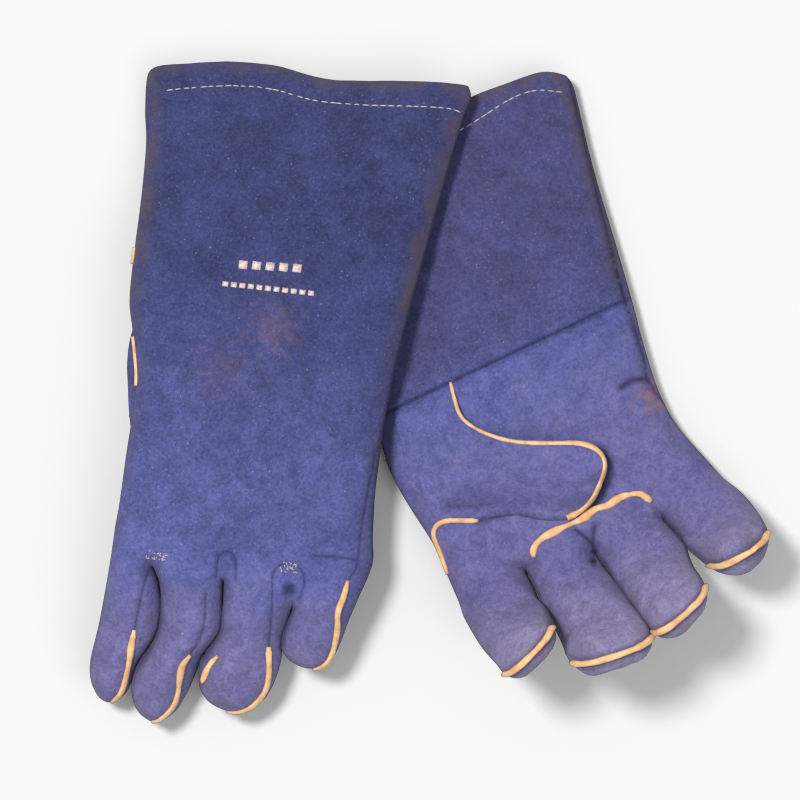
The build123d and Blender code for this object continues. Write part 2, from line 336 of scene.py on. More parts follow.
def distance_to(points, line):
    """Distance from each point to a polyline, worked out in chunks to save memory."""
    line = np.asarray(line, float)
    a, d = line[:-1], line[1:] - line[:-1]
    size = np.maximum((d * d).sum(1), 1e-12)
    best = np.zeros(len(points))
    chunk = max(1, 1500000 // len(a))
    for i in range(0, len(points), chunk):
        rel = points[i:i + chunk, None] - a[None]
        t = np.clip((rel * d).sum(2) / size, 0, 1)
        best[i:i + chunk] = np.hypot(rel[..., 0] - t * d[:, 0], rel[..., 1] - t * d[:, 1]).min(1)
    return best


def away(points, place):
    return np.hypot(*(points - place).T)


def height_at(x, line):
    """y of a line, given from left to right, at each x."""
    line = np.asarray(line, float)
    return np.interp(x, line[:, 0], line[:, 1])


def inside(points, polygon):
    x, y = points.T
    found = np.zeros(len(points), bool)
    for (ax, ay), (bx, by) in zip(polygon, np.roll(polygon, -1, axis=0)):
        crosses = (ay > y) != (by > y)
        found ^= crosses & (x < (bx - ax) * (y - ay) / (by - ay + 1e-15) + ax)
    return found


def ripples(points, wavelength, seed, count=28):
    """A smooth random field with unit spread."""
    rng = np.random.default_rng(seed)
    p = np.asarray(points, float)
    direction = unit(rng.normal(size=(count, p.shape[1])))
    k = 2 * math.pi / wavelength * rng.uniform(0.6, 1.5, count)
    phase = rng.uniform(0, 2 * math.pi, count)
    return np.cos(p @ (direction * k[:, None]).T + phase).sum(1) / math.sqrt(count / 2)


def soften(values, times):
    """Running average that keeps the ends."""
    v = np.array(values, float)
    for _ in range(times):
        v[1:-1] = (v[:-2] + 2 * v[1:-1] + v[2:]) / 4
    return v


def inward_from(line, outline):
    """Unit vectors at right angles to a line, towards the inside of an outline."""
    out = across(line)
    middle = len(line) // 2
    return out if inside((line + out)[middle:middle + 1], outline)[0] else -out


# ---------------------------------------------------------------- a glove's two skins

class Skin:
    """Where the leather of one glove is: from a plan point and a side to a place in the shared frame."""

    def __init__(self, name):
        self.name = name
        self.g = GLOVES[name]
        self.palm_up = self.g["palm_up"]
        self.palm_side = 1 if self.palm_up else -1
        self.edge = spline(self.edge_points(), EDGE_STEP)
        self.mouth = spline(self.g["mouth"], EDGE_STEP)
        self.outline = np.vstack([self.edge, self.mouth[1:-1]])
        self.tables = {finger: self.bend_table(finger) for finger in FINGERS}
        self.side_seam = spline(PALM_SIDE_SEAM, 4)
        self.base_welt = spline(MIDDLE_BASE_WELT, 2)

    def edge_points(self):
        """The sewn edge, from one mouth corner round the fingers to the other."""
        g = self.g
        points = [g["thumb_side"]]
        for finger, valley in zip(FINGERS, g["valleys"]):
            valley = np.array(valley, float)
            aside = np.outer(np.linspace(0.25, 1, len(valley)), (HALF_GAP, 0.0))
            points += [g["tips"][finger], (valley - aside)[::-1], valley[:1] + [0, HALF_GAP], valley + aside]
        return np.vstack([*points, g["tips"]["little"], g["little_side"]])

    def slits(self, p):
        """x of the three lines between neighbouring fingers, at the height of each plan point."""
        found = []
        for i, valley in enumerate(self.g["valleys"]):
            before = np.array(self.g["tips"][FINGERS[i]][-1], float)
            after = np.array(self.g["tips"][FINGERS[i + 1]][0], float)
            line = np.vstack([(before + after) / 2, valley[::-1]])
            found.append(np.interp(p[:, 1], line[:, 1], line[:, 0]))
        return found

    def bend_table(self, finger):
        """Distance, place and slope along a finger as it leaves the palm's plane."""
        first, last = self.g["curl"][finger]
        length = self.g["bend_from"] - self.g["axes"][finger][2]
        s = np.arange(-260, length + 30, 1.0)
        ramp = smooth(0, BEND_RAMP, s) * first
        rest = (last - first) * np.clip((s - BEND_RAMP) / (length - BEND_RAMP), 0, 1.05)
        slope = np.radians(ramp + rest) * self.palm_side
        step = np.diff(s, prepend=s[0])
        return s, np.cumsum(np.cos(slope) * step) + s[0], np.cumsum(np.sin(slope) * step), slope

    def finger_weights(self, p):
        """How much of each finger's bend a plan point takes."""
        beyond = smooth(6, 34, self.g["bend_from"] - p[:, 1] - 14)
        half = 11 * (1 - beyond) + 0.05
        a, b, c = (smooth(-1, 1, (p[:, 0] - x) / half) for x in self.slits(p))
        return [1 - a, a * (1 - b), a * b * (1 - c), a * b * c]

    def finger_of(self, p):
        """Index of the finger each plan point belongs to."""
        return sum(p[:, 0] > x for x in self.slits(p))

    def fullness(self, p, side):
        """Half thickness of the stuffed shape on one side, and how far in from the edge a point is."""
        y = p[:, 1]
        finger = smooth(-100, -135, y)
        roundness = 21 - 6 * finger
        q = np.clip(distance_to(p, self.edge) / roundness, 0, 1)
        cuff, hand, tip = STUFFING[side]
        thick = cuff + hand * smooth(40, -20, y) + tip * finger
        pinch = 1 - 0.3 * smooth(70, 130, y)
        swell = 1 + 0.08 * ripples(p, 60, self.g["seed"])
        lip = 1.3 * (1 - dome(np.clip(distance_to(p, self.mouth) / 2.2, 0, 1)))
        return thick * pinch * dome(q) * swell - lip, q

    def relief(self, p, side, q):
        """Seam grooves, folds and the leather's own unevenness."""
        seed = abs(100 * self.palm_side + 7 * side)
        h = 0.75 * ripples(p, 52, seed + 1) + 0.3 * ripples(p, 19, seed + 2)
        h += 0.12 * ripples(p, 7.5, seed + 3)
        h *= smooth(0, 0.7, q)
        if side == self.palm_side:
            h += self.palm_relief(p)
        elif not self.palm_up:
            h -= sum(bell(distance_to(p, spline(line, 3)), 1.0) for line in BACK_SEAMS)
        if side > 0:
            for place, radius, depth in self.g["pits"]:
                h -= depth * bell(away(p, place), radius)
        return h

    def palm_relief(self, p):
        """The wrist seam with its ridge, the side seam, the folds and the bulge at the finger bases."""
        x, y = p.T
        above = y - height_at(x, spline(WRIST_SEAM, 10))
        h = -0.9 * bell(above, 0.9) + 0.9 * bell(above - 3.2, 2.4)
        h -= 1.1 * bell(distance_to(p, self.side_seam), 1.2)
        for line, depth, width in PALM_FOLDS:
            h -= depth * bell(distance_to(p, line), width)
        below = smooth(0, -5, y - height_at(x, self.base_welt))
        near = smooth(14, 2, distance_to(p, self.base_welt))
        return h + 1.6 * below * near * (np.abs(x - 3) < 36)

    def lift(self, p):
        """Height of the middle of the glove above the table."""
        if self.palm_up:
            return np.full(len(p), RIGHT_LIFT)
        held = np.array(HELD_UP, float)
        away = distance_to(p, closed(held)) * ~inside(p, held)
        return LEFT_LIFT - LEFT_CUFF_DROP * smooth(-15, 65, p[:, 1]) - LEFT_EDGE_DROP * smooth(0, 95, away)

    def height(self, p, side):
        """Height of the leather over the glove's middle, before the fingers bend."""
        full, q = self.fullness(p, side)
        return side * (full + self.relief(p, side, q) * smooth(0, 0.25, q))

    def bend(self, p, h):
        """Places before the glove is turned: each finger twists and leaves the palm's plane."""
        start = self.g["bend_from"]
        plan_x, plan_y = p.T
        squeeze = 1 + FINGER_SQUEEZE * smooth(-108, -121, plan_y)
        out = np.zeros((len(p), 3))
        for finger, weight in zip(FINGERS, self.finger_weights(p)):
            base_x, tip_x, tip_y = self.g["axes"][finger]
            reach = np.clip((plan_y + 125) / (tip_y + 125), 0, 1)
            axis_x = base_x + (tip_x - base_x) * reach
            turn = np.radians(self.g["twist"][finger]) * smooth(0.1, 0.85, reach)
            v = (plan_x - axis_x) * squeeze
            k = v * np.sin(turn) + h * np.cos(turn)
            table, *curves = self.tables[finger]
            forward, rise, slope = (np.interp(start - plan_y, table, curve) for curve in curves)
            x = axis_x + v * np.cos(turn) - h * np.sin(turn)
            y = start - (forward - k * np.sin(slope))
            out += weight[:, None] * np.column_stack([x, y, rise + k * np.cos(slope)])
        out[:, 2] += self.lift(p)
        return out

    def bent_normals(self, p, side, e=0.25):
        """Unit normals of the leather before the glove is turned."""
        around = (p + [e, 0], p - [e, 0], p + [0, e], p - [0, e])
        a, b, c, d = (self.bend(q, self.height(q, side)) for q in around)
        return unit(np.cross(a - b, c - d) * side)

    def turned(self, v):
        """Vectors of the lay-flat frame, turned by the glove's yaw."""
        yaw = math.radians(self.g["yaw"])
        cos, sin = math.cos(yaw), math.sin(yaw)
        x, y, z = v.T
        return np.column_stack([x * cos - y * sin, x * sin + y * cos, z])

    def place(self, local):
        """Places in the shared frame from places in the lay-flat frame."""
        return self.turned(local) + [*self.g["origin"], 0]

    def at(self, p, side, raise_by=0.0):
        """Places, in millimetres, of plan points on one side, raised off the leather."""
        local = self.bend(p, self.height(p, side))
        if np.any(raise_by):
            local = local + np.reshape(raise_by, (-1, 1)) * self.bent_normals(p, side)
        return self.place(local)

    def normal(self, p, side):
        return self.turned(self.bent_normals(p, side))

    def over_palm(self, p, height):
        """Places at a height over the palm's leather."""
        local = self.bend(p, self.height(p, self.palm_side))
        local[:, 2] += self.palm_side * height
        return self.place(local)

    def joint_ends(self, part):
        """Where the bending of a finger or the thumb starts and ends, in metres."""
        if part == "thumb":
            p = THUMB_ROOT + np.outer(THUMB_JOINT, THUMB_DIRECTION)
            return self.over_palm(p, THUMB_JOINT_HEIGHT) * MM
        x = self.g["axes"][part][0]
        return self.place(self.bend(np.array([(x, CUT_Y), (x, BLEND_END)]), np.zeros(2))) * MM


# ---------------------------------------------------------------- meshes

def staggered_grid(outline):
    """Points in staggered rows that lie inside an outline."""
    low, high = outline.min(0), outline.max(0)
    ys = np.arange(low[1], high[1], GRID * 0.866)
    xx, yy = np.meshgrid(np.arange(low[0], high[0], GRID), ys)
    xx = xx + (np.arange(len(ys)) % 2)[:, None] * GRID / 2
    cells = np.column_stack([xx.ravel(), yy.ravel()])
    return cells[inside(cells, outline)]


def plan_mesh(outline, lines, rings=(0.45, 1.3, 2.6)):
    """Triangles that fill an outline, finer near its edge and near the given lines."""
    edge = closed(outline)
    inward = unit(quarter_turn(np.roll(outline, -1, axis=0) - np.roll(outline, 1, axis=0)))
    if not inside(outline[:5] + inward[:5] * 0.3, outline).all():
        inward = -inward
    points = [outline]
    for ring in rings:
        q = outline + inward * ring
        points.append(q[(distance_to(q, edge) > ring * 0.85) & inside(q, outline)])
    cells = staggered_grid(outline)
    cells = cells[distance_to(cells, edge) > rings[-1] + GRID * 0.6]
    for line in lines:
        cells = cells[distance_to(cells, line) > 1.9]
        for off in (-1.0, 0, 1.0):
            q = line + across(line) * off
            points.append(q[inside(q, outline) & (distance_to(q, edge) > 1.0)])
    points = np.vstack([*points, cells])
    loop = [(i, (i + 1) % len(outline)) for i in range(len(outline))]
    verts, _, faces, *_ = delaunay_2d_cdt([tuple(p) for p in points], loop, [], 0, 0.05)
    verts = np.array([tuple(v) for v in verts])
    faces = np.array(faces)
    faces = faces[inside(verts[faces].mean(1), outline)]
    a, b, c = (verts[faces[:, i]] for i in range(3))
    area = (b[:, 0] - a[:, 0]) * (c[:, 1] - a[:, 1]) - (b[:, 1] - a[:, 1]) * (c[:, 0] - a[:, 0])
    faces[area < 0] = faces[area < 0][:, ::-1]
    return verts, faces[np.abs(area) > 1e-4]


def sewn_faces(tris, on_edge):
    """Faces of an upper and a lower skin that share the points on the sewn edge."""
    twin = np.arange(len(on_edge)) + np.where(on_edge, 0, len(on_edge))
    return np.vstack([tris, twin[tris][:, ::-1]])


def vertex_normals(verts, faces):
    a, b, c = (verts[faces[:, i]] for i in range(3))
    out = np.zeros_like(verts)
    for i in range(3):
        np.add.at(out, faces[:, i], np.cross(b - a, c - a))
    return unit(out)


def link(name, data):
    obj = bpy.data.objects.new(name, data)
    bpy.context.scene.collection.objects.link(obj)
    return obj


def make_object(name, verts_mm, faces, normals=None, marks=None):
    """A smooth mesh object from millimetres, with optional loop normals and marks of painted shade and
    rubbing.
    """
    mesh = bpy.data.meshes.new(name)
    mesh.from_pydata((np.asarray(verts_mm) * MM).tolist(), [], [tuple(int(i) for i in f) for f in faces])
    mesh.polygons.foreach_set("use_smooth", np.ones(len(mesh.polygons), bool))
    if marks is not None:
        attribute = mesh.attributes.new("marks", "FLOAT_COLOR", "POINT")
        attribute.data.foreach_set("color", np.asarray(marks, np.float32).ravel())
    mesh.validate()
    mesh.update()
    if normals is not None and len(normals) == len(mesh.loops):
        mesh.normals_split_custom_set(np.asarray(normals, float).tolist())
    return link(name, mesh)


def shell(verts, normals, faces, thickness, marks):
    """A closed piece: some faces of a skin, the same faces moved inwards, and a rim.

    Gives points, faces, loop normals and marks of painted shade and rubbing.
    """
    used, f = np.unique(faces, return_inverse=True)
    f = f.reshape(faces.shape)
    n = len(used)
    out = normals[used]
    points = np.vstack([verts[used], verts[used] - out * thickness[used][:, None]])
    edges = np.vstack([f[:, [0, 1]], f[:, [1, 2]], f[:, [2, 0]]])
    _, first, counts = np.unique(np.sort(edges, axis=1) @ [n, 1], return_index=True, return_counts=True)
    a, b = edges[first[counts == 1]].T
    rim = np.column_stack([a, a + n, b + n, b])
    rim_normals = unit(np.cross(points[a + n] - points[a], points[b + n] - points[a]))
    loop_normals = np.vstack([out[f.ravel()], -out[f[:, ::-1].ravel()], np.repeat(rim_normals, 4, axis=0)])
    return points, [*f, *(f[:, ::-1] + n), *rim], loop_normals, np.vstack([marks[used]] * 2)


def wall_faces(rows, columns):
    """Four-sided faces round a stack of rings of points."""
    faces = []
    for i in range(rows - 1):
        for j in range(columns):
            k = (j + 1) % columns
            faces.append([i * columns + j, i * columns + k, (i + 1) * columns + k, (i + 1) * columns + j])
    return faces


def tube(path, normals, half_width, half_height, sides=10, power=0.75):
    """Points and faces of a closed strip, wide across the surface and low along its normals."""
    sideways = unit(np.cross(unit(np.gradient(path, axis=0)), normals))
    a = np.linspace(0, 2 * math.pi, sides, endpoint=False)
    cx, cy = (np.sign(w) * np.abs(w) ** power for w in (np.cos(a), np.sin(a)))
    count = len(path)
    wide = np.outer(np.broadcast_to(half_width, count), cx)[..., None]
    tall = np.outer(np.broadcast_to(half_height, count), cy)[..., None]
    rings = path[:, None] + sideways[:, None] * wide + normals[:, None] * tall
    caps = [list(range(sides))[::-1], list(range((count - 1) * sides, count * sides))]
    return rings.reshape(-1, 3), wall_faces(count, sides) + caps


def merged(parts):
    """Points and faces of several pieces as one."""
    faces = []
    start = 0
    for verts, part_faces in parts:
        faces += [[start + i for i in face] for face in part_faces]
        start += len(verts)
    return np.vstack([verts for verts, _ in parts]), faces


# ---------------------------------------------------------------- painted shade and wear marks

def painted_shade_marks(skin, p, side):
    """Painted shade: how much darker the leather is coloured in its seams, folds and pits, along its sewn
    edge and between the fingers.
    """
    palm = side == skin.palm_side
    painted_shade = 0.5 * smooth(1.5, 0.2, distance_to(p, skin.edge))
    lines = [(spline(valley, 3), 1.7, 0.75) for valley in skin.g["valleys"]]
    if palm:
        lines += [(spline(WRIST_SEAM, 10), 1.0, 0.8), (skin.side_seam, 1.1, 0.9)]
        lines += [(line, width * 1.1, min(0.8, 0.5 * depth * depth)) for line, depth, width in PALM_FOLDS]
        # painted shadow that the thumb's tip casts on the palm beside it
        lines.append((spline(THUMB_TOP[9:15], 3) + [2.2, -0.6], 2.4, 0.85))
    elif not skin.palm_up:
        lines += [(spline(seam, 3), 0.8, 0.6) for seam in BACK_SEAMS]
    for line, width, depth in lines:
        painted_shade = np.maximum(painted_shade, depth * bell(distance_to(p, line), width))
    # painted shade in the crotch pits
    for place, radius, depth in skin.g["pits"] if side > 0 else ():
        painted_shade = np.maximum(painted_shade, 0.22 * depth * smooth(radius * 1.05, radius * 0.35, away(p, place)))
    return painted_shade


def wear_and_painted_light_marks(skin, p, side):
    """How pale the leather is rubbed: more towards the fingertips, and on the palm; towards the right glove's
    fingertips it is partly painted light that offsets their shade.
    """
    y = p[:, 1]
    wear_and_painted_light = 0.07 + 0.29 * smooth(60, -110, y) + 0.36 * smooth(-110, -185, y)
    if skin.palm_up:
        # right glove: paler palm and fingertips from rubbing, and near the tips also painted light that
        # offsets their shade
        wear_and_painted_light += 0.11 + 0.17 * smooth(6, -6, y) + 0.12 * smooth(-150, -185, y)
        if side != skin.palm_side:
            # painted light on the back of the curled fingertips, which turn away from the lamps
            wear_and_painted_light += 0.35 * smooth(-150, -185, y)
    wear_and_painted_light += 0.018 * ripples(p, 46, 31) + 0.02 * ripples(p, 17, 32)
    return 0.8 * wear_and_painted_light


def stain_marks(skin, p, side):
    """Rusty spots: on the right palm, and on both backs."""
    palm = side == skin.palm_side
    stain = 0.07 * smooth(0, 8, p[:, 1]) * skin.palm_up
    if palm and not skin.palm_up:
        return stain
    wobble = 1 + 0.35 * ripples(p, 9, 41)
    for place, size, strength in PALM_SPOTS if palm else BACK_SPOTS:
        stain += strength * bell(away(p, place), size * wobble)
    return stain


def grime_marks(skin, p, side):
    """Brown dirt along the edges, most at the cuff, and beyond the palm's side seam."""
    y = p[:, 1]
    near_edge = smooth(12, 1.5, distance_to(p, skin.edge)) * (0.35 + 0.65 * smooth(-20, 40, y))
    grime = np.maximum(near_edge, smooth(9, 1, distance_to(p, skin.mouth)))
    if side == skin.palm_side:
        beyond = p[:, 0] - height_at(y, skin.side_seam[::-1, ::-1])
        grime = np.maximum(grime, 0.5 * smooth(-1, 1, beyond) * smooth(-60, -40, y))
    return grime * (0.85 + 0.3 * ripples(p, 22, 43))


def leather_marks(skin, p, side):
    """Per point: painted shade, rubbed paleness that is partly painted light, stain and grime."""
    kinds = (painted_shade_marks, wear_and_painted_light_marks, stain_marks, grime_marks)
    return np.clip(np.column_stack([kind(skin, p, side) for kind in kinds]), 0, 1)


# ---------------------------------------------------------------- materials

class Nodes:
    """Short names for the shader nodes that the looks share."""

    def __init__(self, tree):
        self.tree = tree

    def feed(self, socket, value):
        """Fills an input with a value or with another node's output."""
        if hasattr(value, "is_output"):
            self.tree.links.new(value, socket)
        else:
            socket.default_value = value

    def add(self, kind, inputs, **settings):
        node = self.tree.nodes.new("ShaderNode" + kind)
        for key, value in settings.items():
            setattr(node, key, value)
        for key, value in inputs.items():
            self.feed(node.inputs[key], value)
        return node

    def mix(self, factor, a, b, mode="MIX"):
        inputs = {"Factor": factor, 6: a, 7: b}
        return self.add("Mix", inputs, data_type="RGBA", blend_type=mode, clamp_result=False).outputs[2]

    def cover(self, colour, amount, over):
        """Lays another colour over a colour, by an amount from 0 to 1."""
        return self.mix(amount, colour, (*over, 1))

    def sum(self, a, b, operation="ADD", clamp=False):
        return self.add("Math", {0: a, 1: b}, operation=operation, use_clamp=clamp).outputs[0]

    def product(self, a, b, plus=None, clamp=False):
        if plus is None:
            return self.sum(a, b, "MULTIPLY", clamp)
        return self.add("Math", {0: a, 1: b, 2: plus}, operation="MULTIPLY_ADD").outputs[0]

    def level(self, value, low, high, out_low=0.0, out_high=1.0):
        """A value's range stretched to another range."""
        inputs = {"Value": value, "From Min": low, "From Max": high, "To Min": out_low, "To Max": out_high}
        return self.add("MapRange", inputs).outputs["Result"]


class Look(Nodes):
    """A material in the making."""

    def __init__(self, name):
        self.material = bpy.data.materials.new(name)
        self.material.use_nodes = True
        super().__init__(self.material.node_tree)
        self.shader = self.tree.nodes["Principled BSDF"]
        self.coords = self.add("TexCoord", {}).outputs["Object"]

    def noise(self, scale, detail=4.0, roughness=0.6, distortion=0.0):
        inputs = {"Scale": scale, "Detail": detail, "Roughness": roughness, "Distortion": distortion}
        return self.add("TexNoise", {"Vector": self.coords, **inputs}).outputs["Fac"]

    def ramp(self, value, shades):
        """Colours along a value, from pairs of position and colour."""
        node = self.add("ValToRGB", {"Fac": value})
        stops = node.color_ramp.elements
        for stop, (position, colour) in zip(stops, (shades[0], shades[-1])):
            stop.position = position
            stop.color = colour
        for position, colour in shades[1:-1]:
            stops.new(position).color = colour
        return node.outputs["Color"]

    def bump(self, height, strength, distance):
        node = self.add("Bump", {"Height": height, "Strength": strength, "Distance": distance})
        self.feed(self.shader.inputs["Normal"], node.outputs["Normal"])

    def finish(self, colour, roughness, **others):
        """Feeds the shader and gives the material. Other inputs are named with _ for each space."""
        self.feed(self.shader.inputs["Base Color"], colour)
        self.feed(self.shader.inputs["Roughness"], roughness)
        for key, value in others.items():
            self.feed(self.shader.inputs[key.replace("_", " ")], value)
        return self.material


def suede_material():
    """Napped blue split leather: deep at the cuff, paler where hands have rubbed it and where light is
    painted on the right glove's fingertips, brown at dirty edges, near black where shade is painted in
    creases and pits.
    """
    look = Look("blue_suede")
    marks = look.add("Attribute", {}, attribute_name="marks")
    painted_shade, wear_and_painted_light, stain = look.add("SeparateColor", {"Color": marks.outputs["Color"]}).outputs
    grime = marks.outputs["Alpha"]
    cloud = look.noise(26, 5, 0.62, 0.8)
    brush = look.noise(130, 4, 0.65, 1.0)
    nap = look.noise(620, 3, 0.75, 0.4)
    fibre = look.noise(1700, 2, 0.8)
    speck = look.noise(900, 2, 0.5)
    amount = look.sum(look.level(cloud, 0.35, 0.65, -0.016, 0.016), wear_and_painted_light)
    amount = look.sum(look.level(brush, 0.35, 0.65, -0.022, 0.022), amount)
    amount = look.sum(look.level(nap, 0.32, 0.68, -0.055, 0.055), amount, clamp=True)
    swing = look.product(look.level(brush, 0.35, 0.65, -1, 1), look.level(wear_and_painted_light, 0.15, 0.5, 0.05, 0.17))
    mottle = look.product(look.sum(swing, 1.0), look.level(nap, 0.3, 0.7, 0.84, 1.16))
    colour = look.mix(1.0, look.ramp(amount, NAP_SHADES), mottle, "MULTIPLY")
    colour = look.cover(colour, look.product(look.level(fibre, 0.66, 0.76), 0.35), (0.36, 0.33, 0.52))
    colour = look.cover(colour, look.level(speck, 0.70, 0.76, 0, 0.4), (0.5, 0.46, 0.56))
    colour = look.cover(colour, look.level(speck, 0.30, 0.24, 0, 0.45), (0.02, 0.022, 0.06))
    dirt = look.product(grime, look.level(brush, 0.3, 0.6, 0.5, 1.0), clamp=True)
    colour = look.cover(colour, look.product(dirt, 0.85), (0.066, 0.050, 0.066))
    rust = look.product(stain, look.level(brush, 0.3, 0.6, 0.4, 1.0), clamp=True)
    colour = look.cover(colour, look.product(rust, 0.75), (0.26, 0.14, 0.12))
    # near-black painted shade in creases, seams, pits, valleys and along the edges
    colour = look.cover(colour, look.product(painted_shade, 0.9), (0.008, 0.008, 0.026))
    height = look.product(nap, 0.6, plus=look.product(fibre, 0.25))
    look.bump(look.product(brush, 1.3, plus=height), 0.7, 0.001)
    return look.finish(colour, 0.96, Specular_IOR_Level=0.1, Sheen_Weight=0.1, Sheen_Roughness=0.5,
                       Sheen_Tint=(0.8, 0.76, 0.85, 1))


def welt_material():
    """Gold-orange welting with paler fibres and some dirt."""
    look = Look("welt_leather")
    patch = look.noise(160, 4, 0.6, 0.4)
    grain = look.noise(1100, 3, 0.7)
    dirt = look.noise(55, 3, 0.6)
    colour = look.cover((0.58, 0.30, 0.13, 1), look.level(patch, 0.35, 0.65), (0.76, 0.49, 0.24))
    colour = look.cover(colour, look.level(grain, 0.62, 0.75, 0, 0.5), (0.86, 0.66, 0.42))
    colour = look.cover(colour, look.level(dirt, 0.58, 0.72, 0, 0.45), (0.42, 0.24, 0.2))
    look.bump(grain, 0.5, 0.0004)
    return look.finish(colour, 0.72)


def thread_material():
    """Twisted sewing thread."""
    look = Look("hem_thread")
    wave = look.add("TexWave", {"Vector": look.coords, "Scale": 900, "Distortion": 2.0}).outputs["Fac"]
    dark = (0.363, 0.3135, 0.3025)
    colour = look.cover((0.66, 0.57, 0.55, 1), look.level(wave, 0.2, 0.8, 0, 0.6), dark)
    colour = look.cover(colour, look.level(look.noise(120, 3, 0.6), 0.5, 0.7, 0, 0.5), dark)
    look.bump(wave, 0.6, 0.0002)
    return look.finish(colour, 0.8)


def lining_material():
    """Off-white fleece, greyed inside the glove."""
    look = Look("lining_fleece")
    tuft = look.noise(420, 4, 0.75, 0.8)
    soil = look.noise(26, 4, 0.6)
    colour = look.cover((0.42, 0.38, 0.32, 1), look.level(tuft, 0.3, 0.7), (0.74, 0.7, 0.62))
    colour = look.cover(colour, look.level(soil, 0.45, 0.7, 0, 0.55), (0.28, 0.25, 0.26))
    look.bump(tuft, 0.9, 0.0015)
    return look.finish(colour, 1.0, Sheen_Weight=0.5)


def foil_material():
    """Worn gold foil print."""
    look = Look("foil_print")
    worn = look.level(look.noise(900, 3, 0.7), 0.45, 0.68)
    return look.finish(look.cover((0.66, 0.5, 0.4, 1), worn, (0.2, 0.18, 0.32)), 0.6)


# Each look is a material and the slot it fills
SUEDE = (suede_material(), "blue_suede")
WELT = (welt_material(), "welt_leather")
THREAD = (thread_material(), "thread")
LINING = (lining_material(), "lining")
FOIL = (foil_material(), "thread")


# ---------------------------------------------------------------- building a glove

def add_piece(skin, key, shape, look, nodes=(), part="hand", bends=False):
    """Makes a piece that rides one part, in place of the CAD nodes; with bends set, its place is only baked
    into its mesh and it rides no part.
    """
    name = skin.name
    material, slot = look
    obj = make_object(f"{name}_{key}", *shape)
    obj.data.materials.append(material)
    if bends:
        start, end = (tuple(p) for p in skin.joint_ends(part))
        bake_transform(obj)
        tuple(start)
        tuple(end)
    else:
        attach(obj, f"{name}_{part}")
    for node in nodes:
        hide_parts(f"{name}_{node}")
    return obj


def add_leather(skin, verts, faces, groups, thickness, marks):
    """Cuts two sewn skins into closed pieces: each group is a piece's name and its faces."""
    normals = vertex_normals(verts, faces)
    for key, chosen in groups:
        piece = shell(verts, normals, faces[chosen], thickness, marks)
        part, end = key.split("_")
        bends = end in ("back", "front") and part != "cuff"
        nodes = [key]
        if key == "back_panel":
            nodes.append("cuff_hem")
        if bends and end == "front":
            nodes.append(f"{part}_lining")
        add_piece(skin, f"{key}_leather", piece, SUEDE, nodes, part if bends else "hand", bends)


def leather_groups(skin, plan, tris):
    """Which faces of the two skins belong to which piece: piece name, face numbers."""
    centre = plan[tris].mean(1)
    finger = np.where(centre[:, 1] < CUT_Y, skin.finger_of(centre), -1)
    on_hand = finger < 0
    above_wrist = centre[:, 1] > height_at(centre[:, 0], WRIST_SEAM)
    for side, offset in ((1, 0), (-1, len(tris))):
        ids = np.arange(len(tris)) + offset
        back = side != skin.palm_side
        for i, f in enumerate(FINGERS):
            yield f"{f}_back" if back else f"{f}_front", ids[finger == i]
        if back:
            yield "back_panel", ids[on_hand]
        else:
            yield "cuff_front", ids[on_hand & above_wrist]
            yield "palm_panel", ids[on_hand & ~above_wrist]


def leather_pieces(skin):
    """The outer leather in closed pieces that meet at the seams."""
    drawn = ([] if skin.palm_up else BACK_SEAMS) + [line for line, _, _ in PALM_FOLDS]
    lines = [spline(line, 2.2) for line in drawn] + [skin.side_seam, skin.base_welt, spline(THUMB_TOP, 3)]
    lines.append(np.column_stack([np.arange(-72, 76, 2.5), np.full(60, 0.6)]))
    plan, tris = plan_mesh(skin.outline, lines)
    faces = sewn_faces(tris, distance_to(plan, skin.edge) < SEWN)
    top, bottom = skin.at(plan, 1), skin.at(plan, -1)
    verts = np.vstack([top, bottom])
    marks = np.vstack([leather_marks(skin, plan, side) for side in (1, -1)])
    hem_share = smooth(HEM_BAND + 0.8, HEM_BAND - 0.8, distance_to(plan, skin.mouth))
    room = np.linalg.norm(top - bottom, axis=1) / 2
    depth = np.minimum(LEATHER + (HEM - LEATHER) * hem_share, 0.75 * room + 0.9)
    add_leather(skin, verts, faces, leather_groups(skin, plan, tris), np.tile(depth, 2), marks)


def lining_piece(skin):
    """The sock inside, seen through the mouth."""
    left = skin.edge[: np.argmax(skin.edge[:, 1] < CUT_Y)]
    right = skin.edge[len(skin.edge) - np.argmax(skin.edge[::-1][:, 1] < CUT_Y):]
    spread = 0.5 - 0.5 * np.cos(np.linspace(0, math.pi, LINING_COLUMNS))
    rings = []
    for y in np.arange(min(y for _, y in skin.g["mouth"]) - HEM_BAND - 1.5, CUT_Y, -6.0):
        low = np.interp(y, left[::-1, 1], left[::-1, 0]) + LINING_INSET
        high = np.interp(y, right[:, 1], right[:, 0]) - LINING_INSET
        p = np.column_stack([low + (high - low) * spread, np.full(LINING_COLUMNS, y)])
        rings += [skin.at(p, 1, raise_by=-LINING_DEPTH), skin.at(p, -1, raise_by=-LINING_DEPTH)[::-1]]
    faces = [f[:1] + f[:0:-1] for f in wall_faces(len(rings) // 2, 2 * LINING_COLUMNS)]
    thicken(add_piece(skin, "lining_fleece", (np.vstack(rings), faces), LINING, ["lining"]), FLEECE)


def thicken(obj, thickness_mm):
    """Gives a sheet thickness, half to each side."""
    modifier = obj.modifiers.new("thickness", "SOLIDIFY")
    modifier.thickness = thickness_mm * MM
    modifier.offset = 0.0


def strip_widths(count, seed, width):
    """Half widths along a hand-cut strip: a little uneven, narrower at its ends."""
    s = np.linspace(0, 1, count)
    run = s[:, None] * count * 1.6
    wobble = 1 + 0.09 * ripples(run, 26, seed) + 0.03 * ripples(run, 7, seed + 1)
    return width * wobble * np.clip(np.minimum(s, 1 - s) * count / 1.5, 0.75, 1)


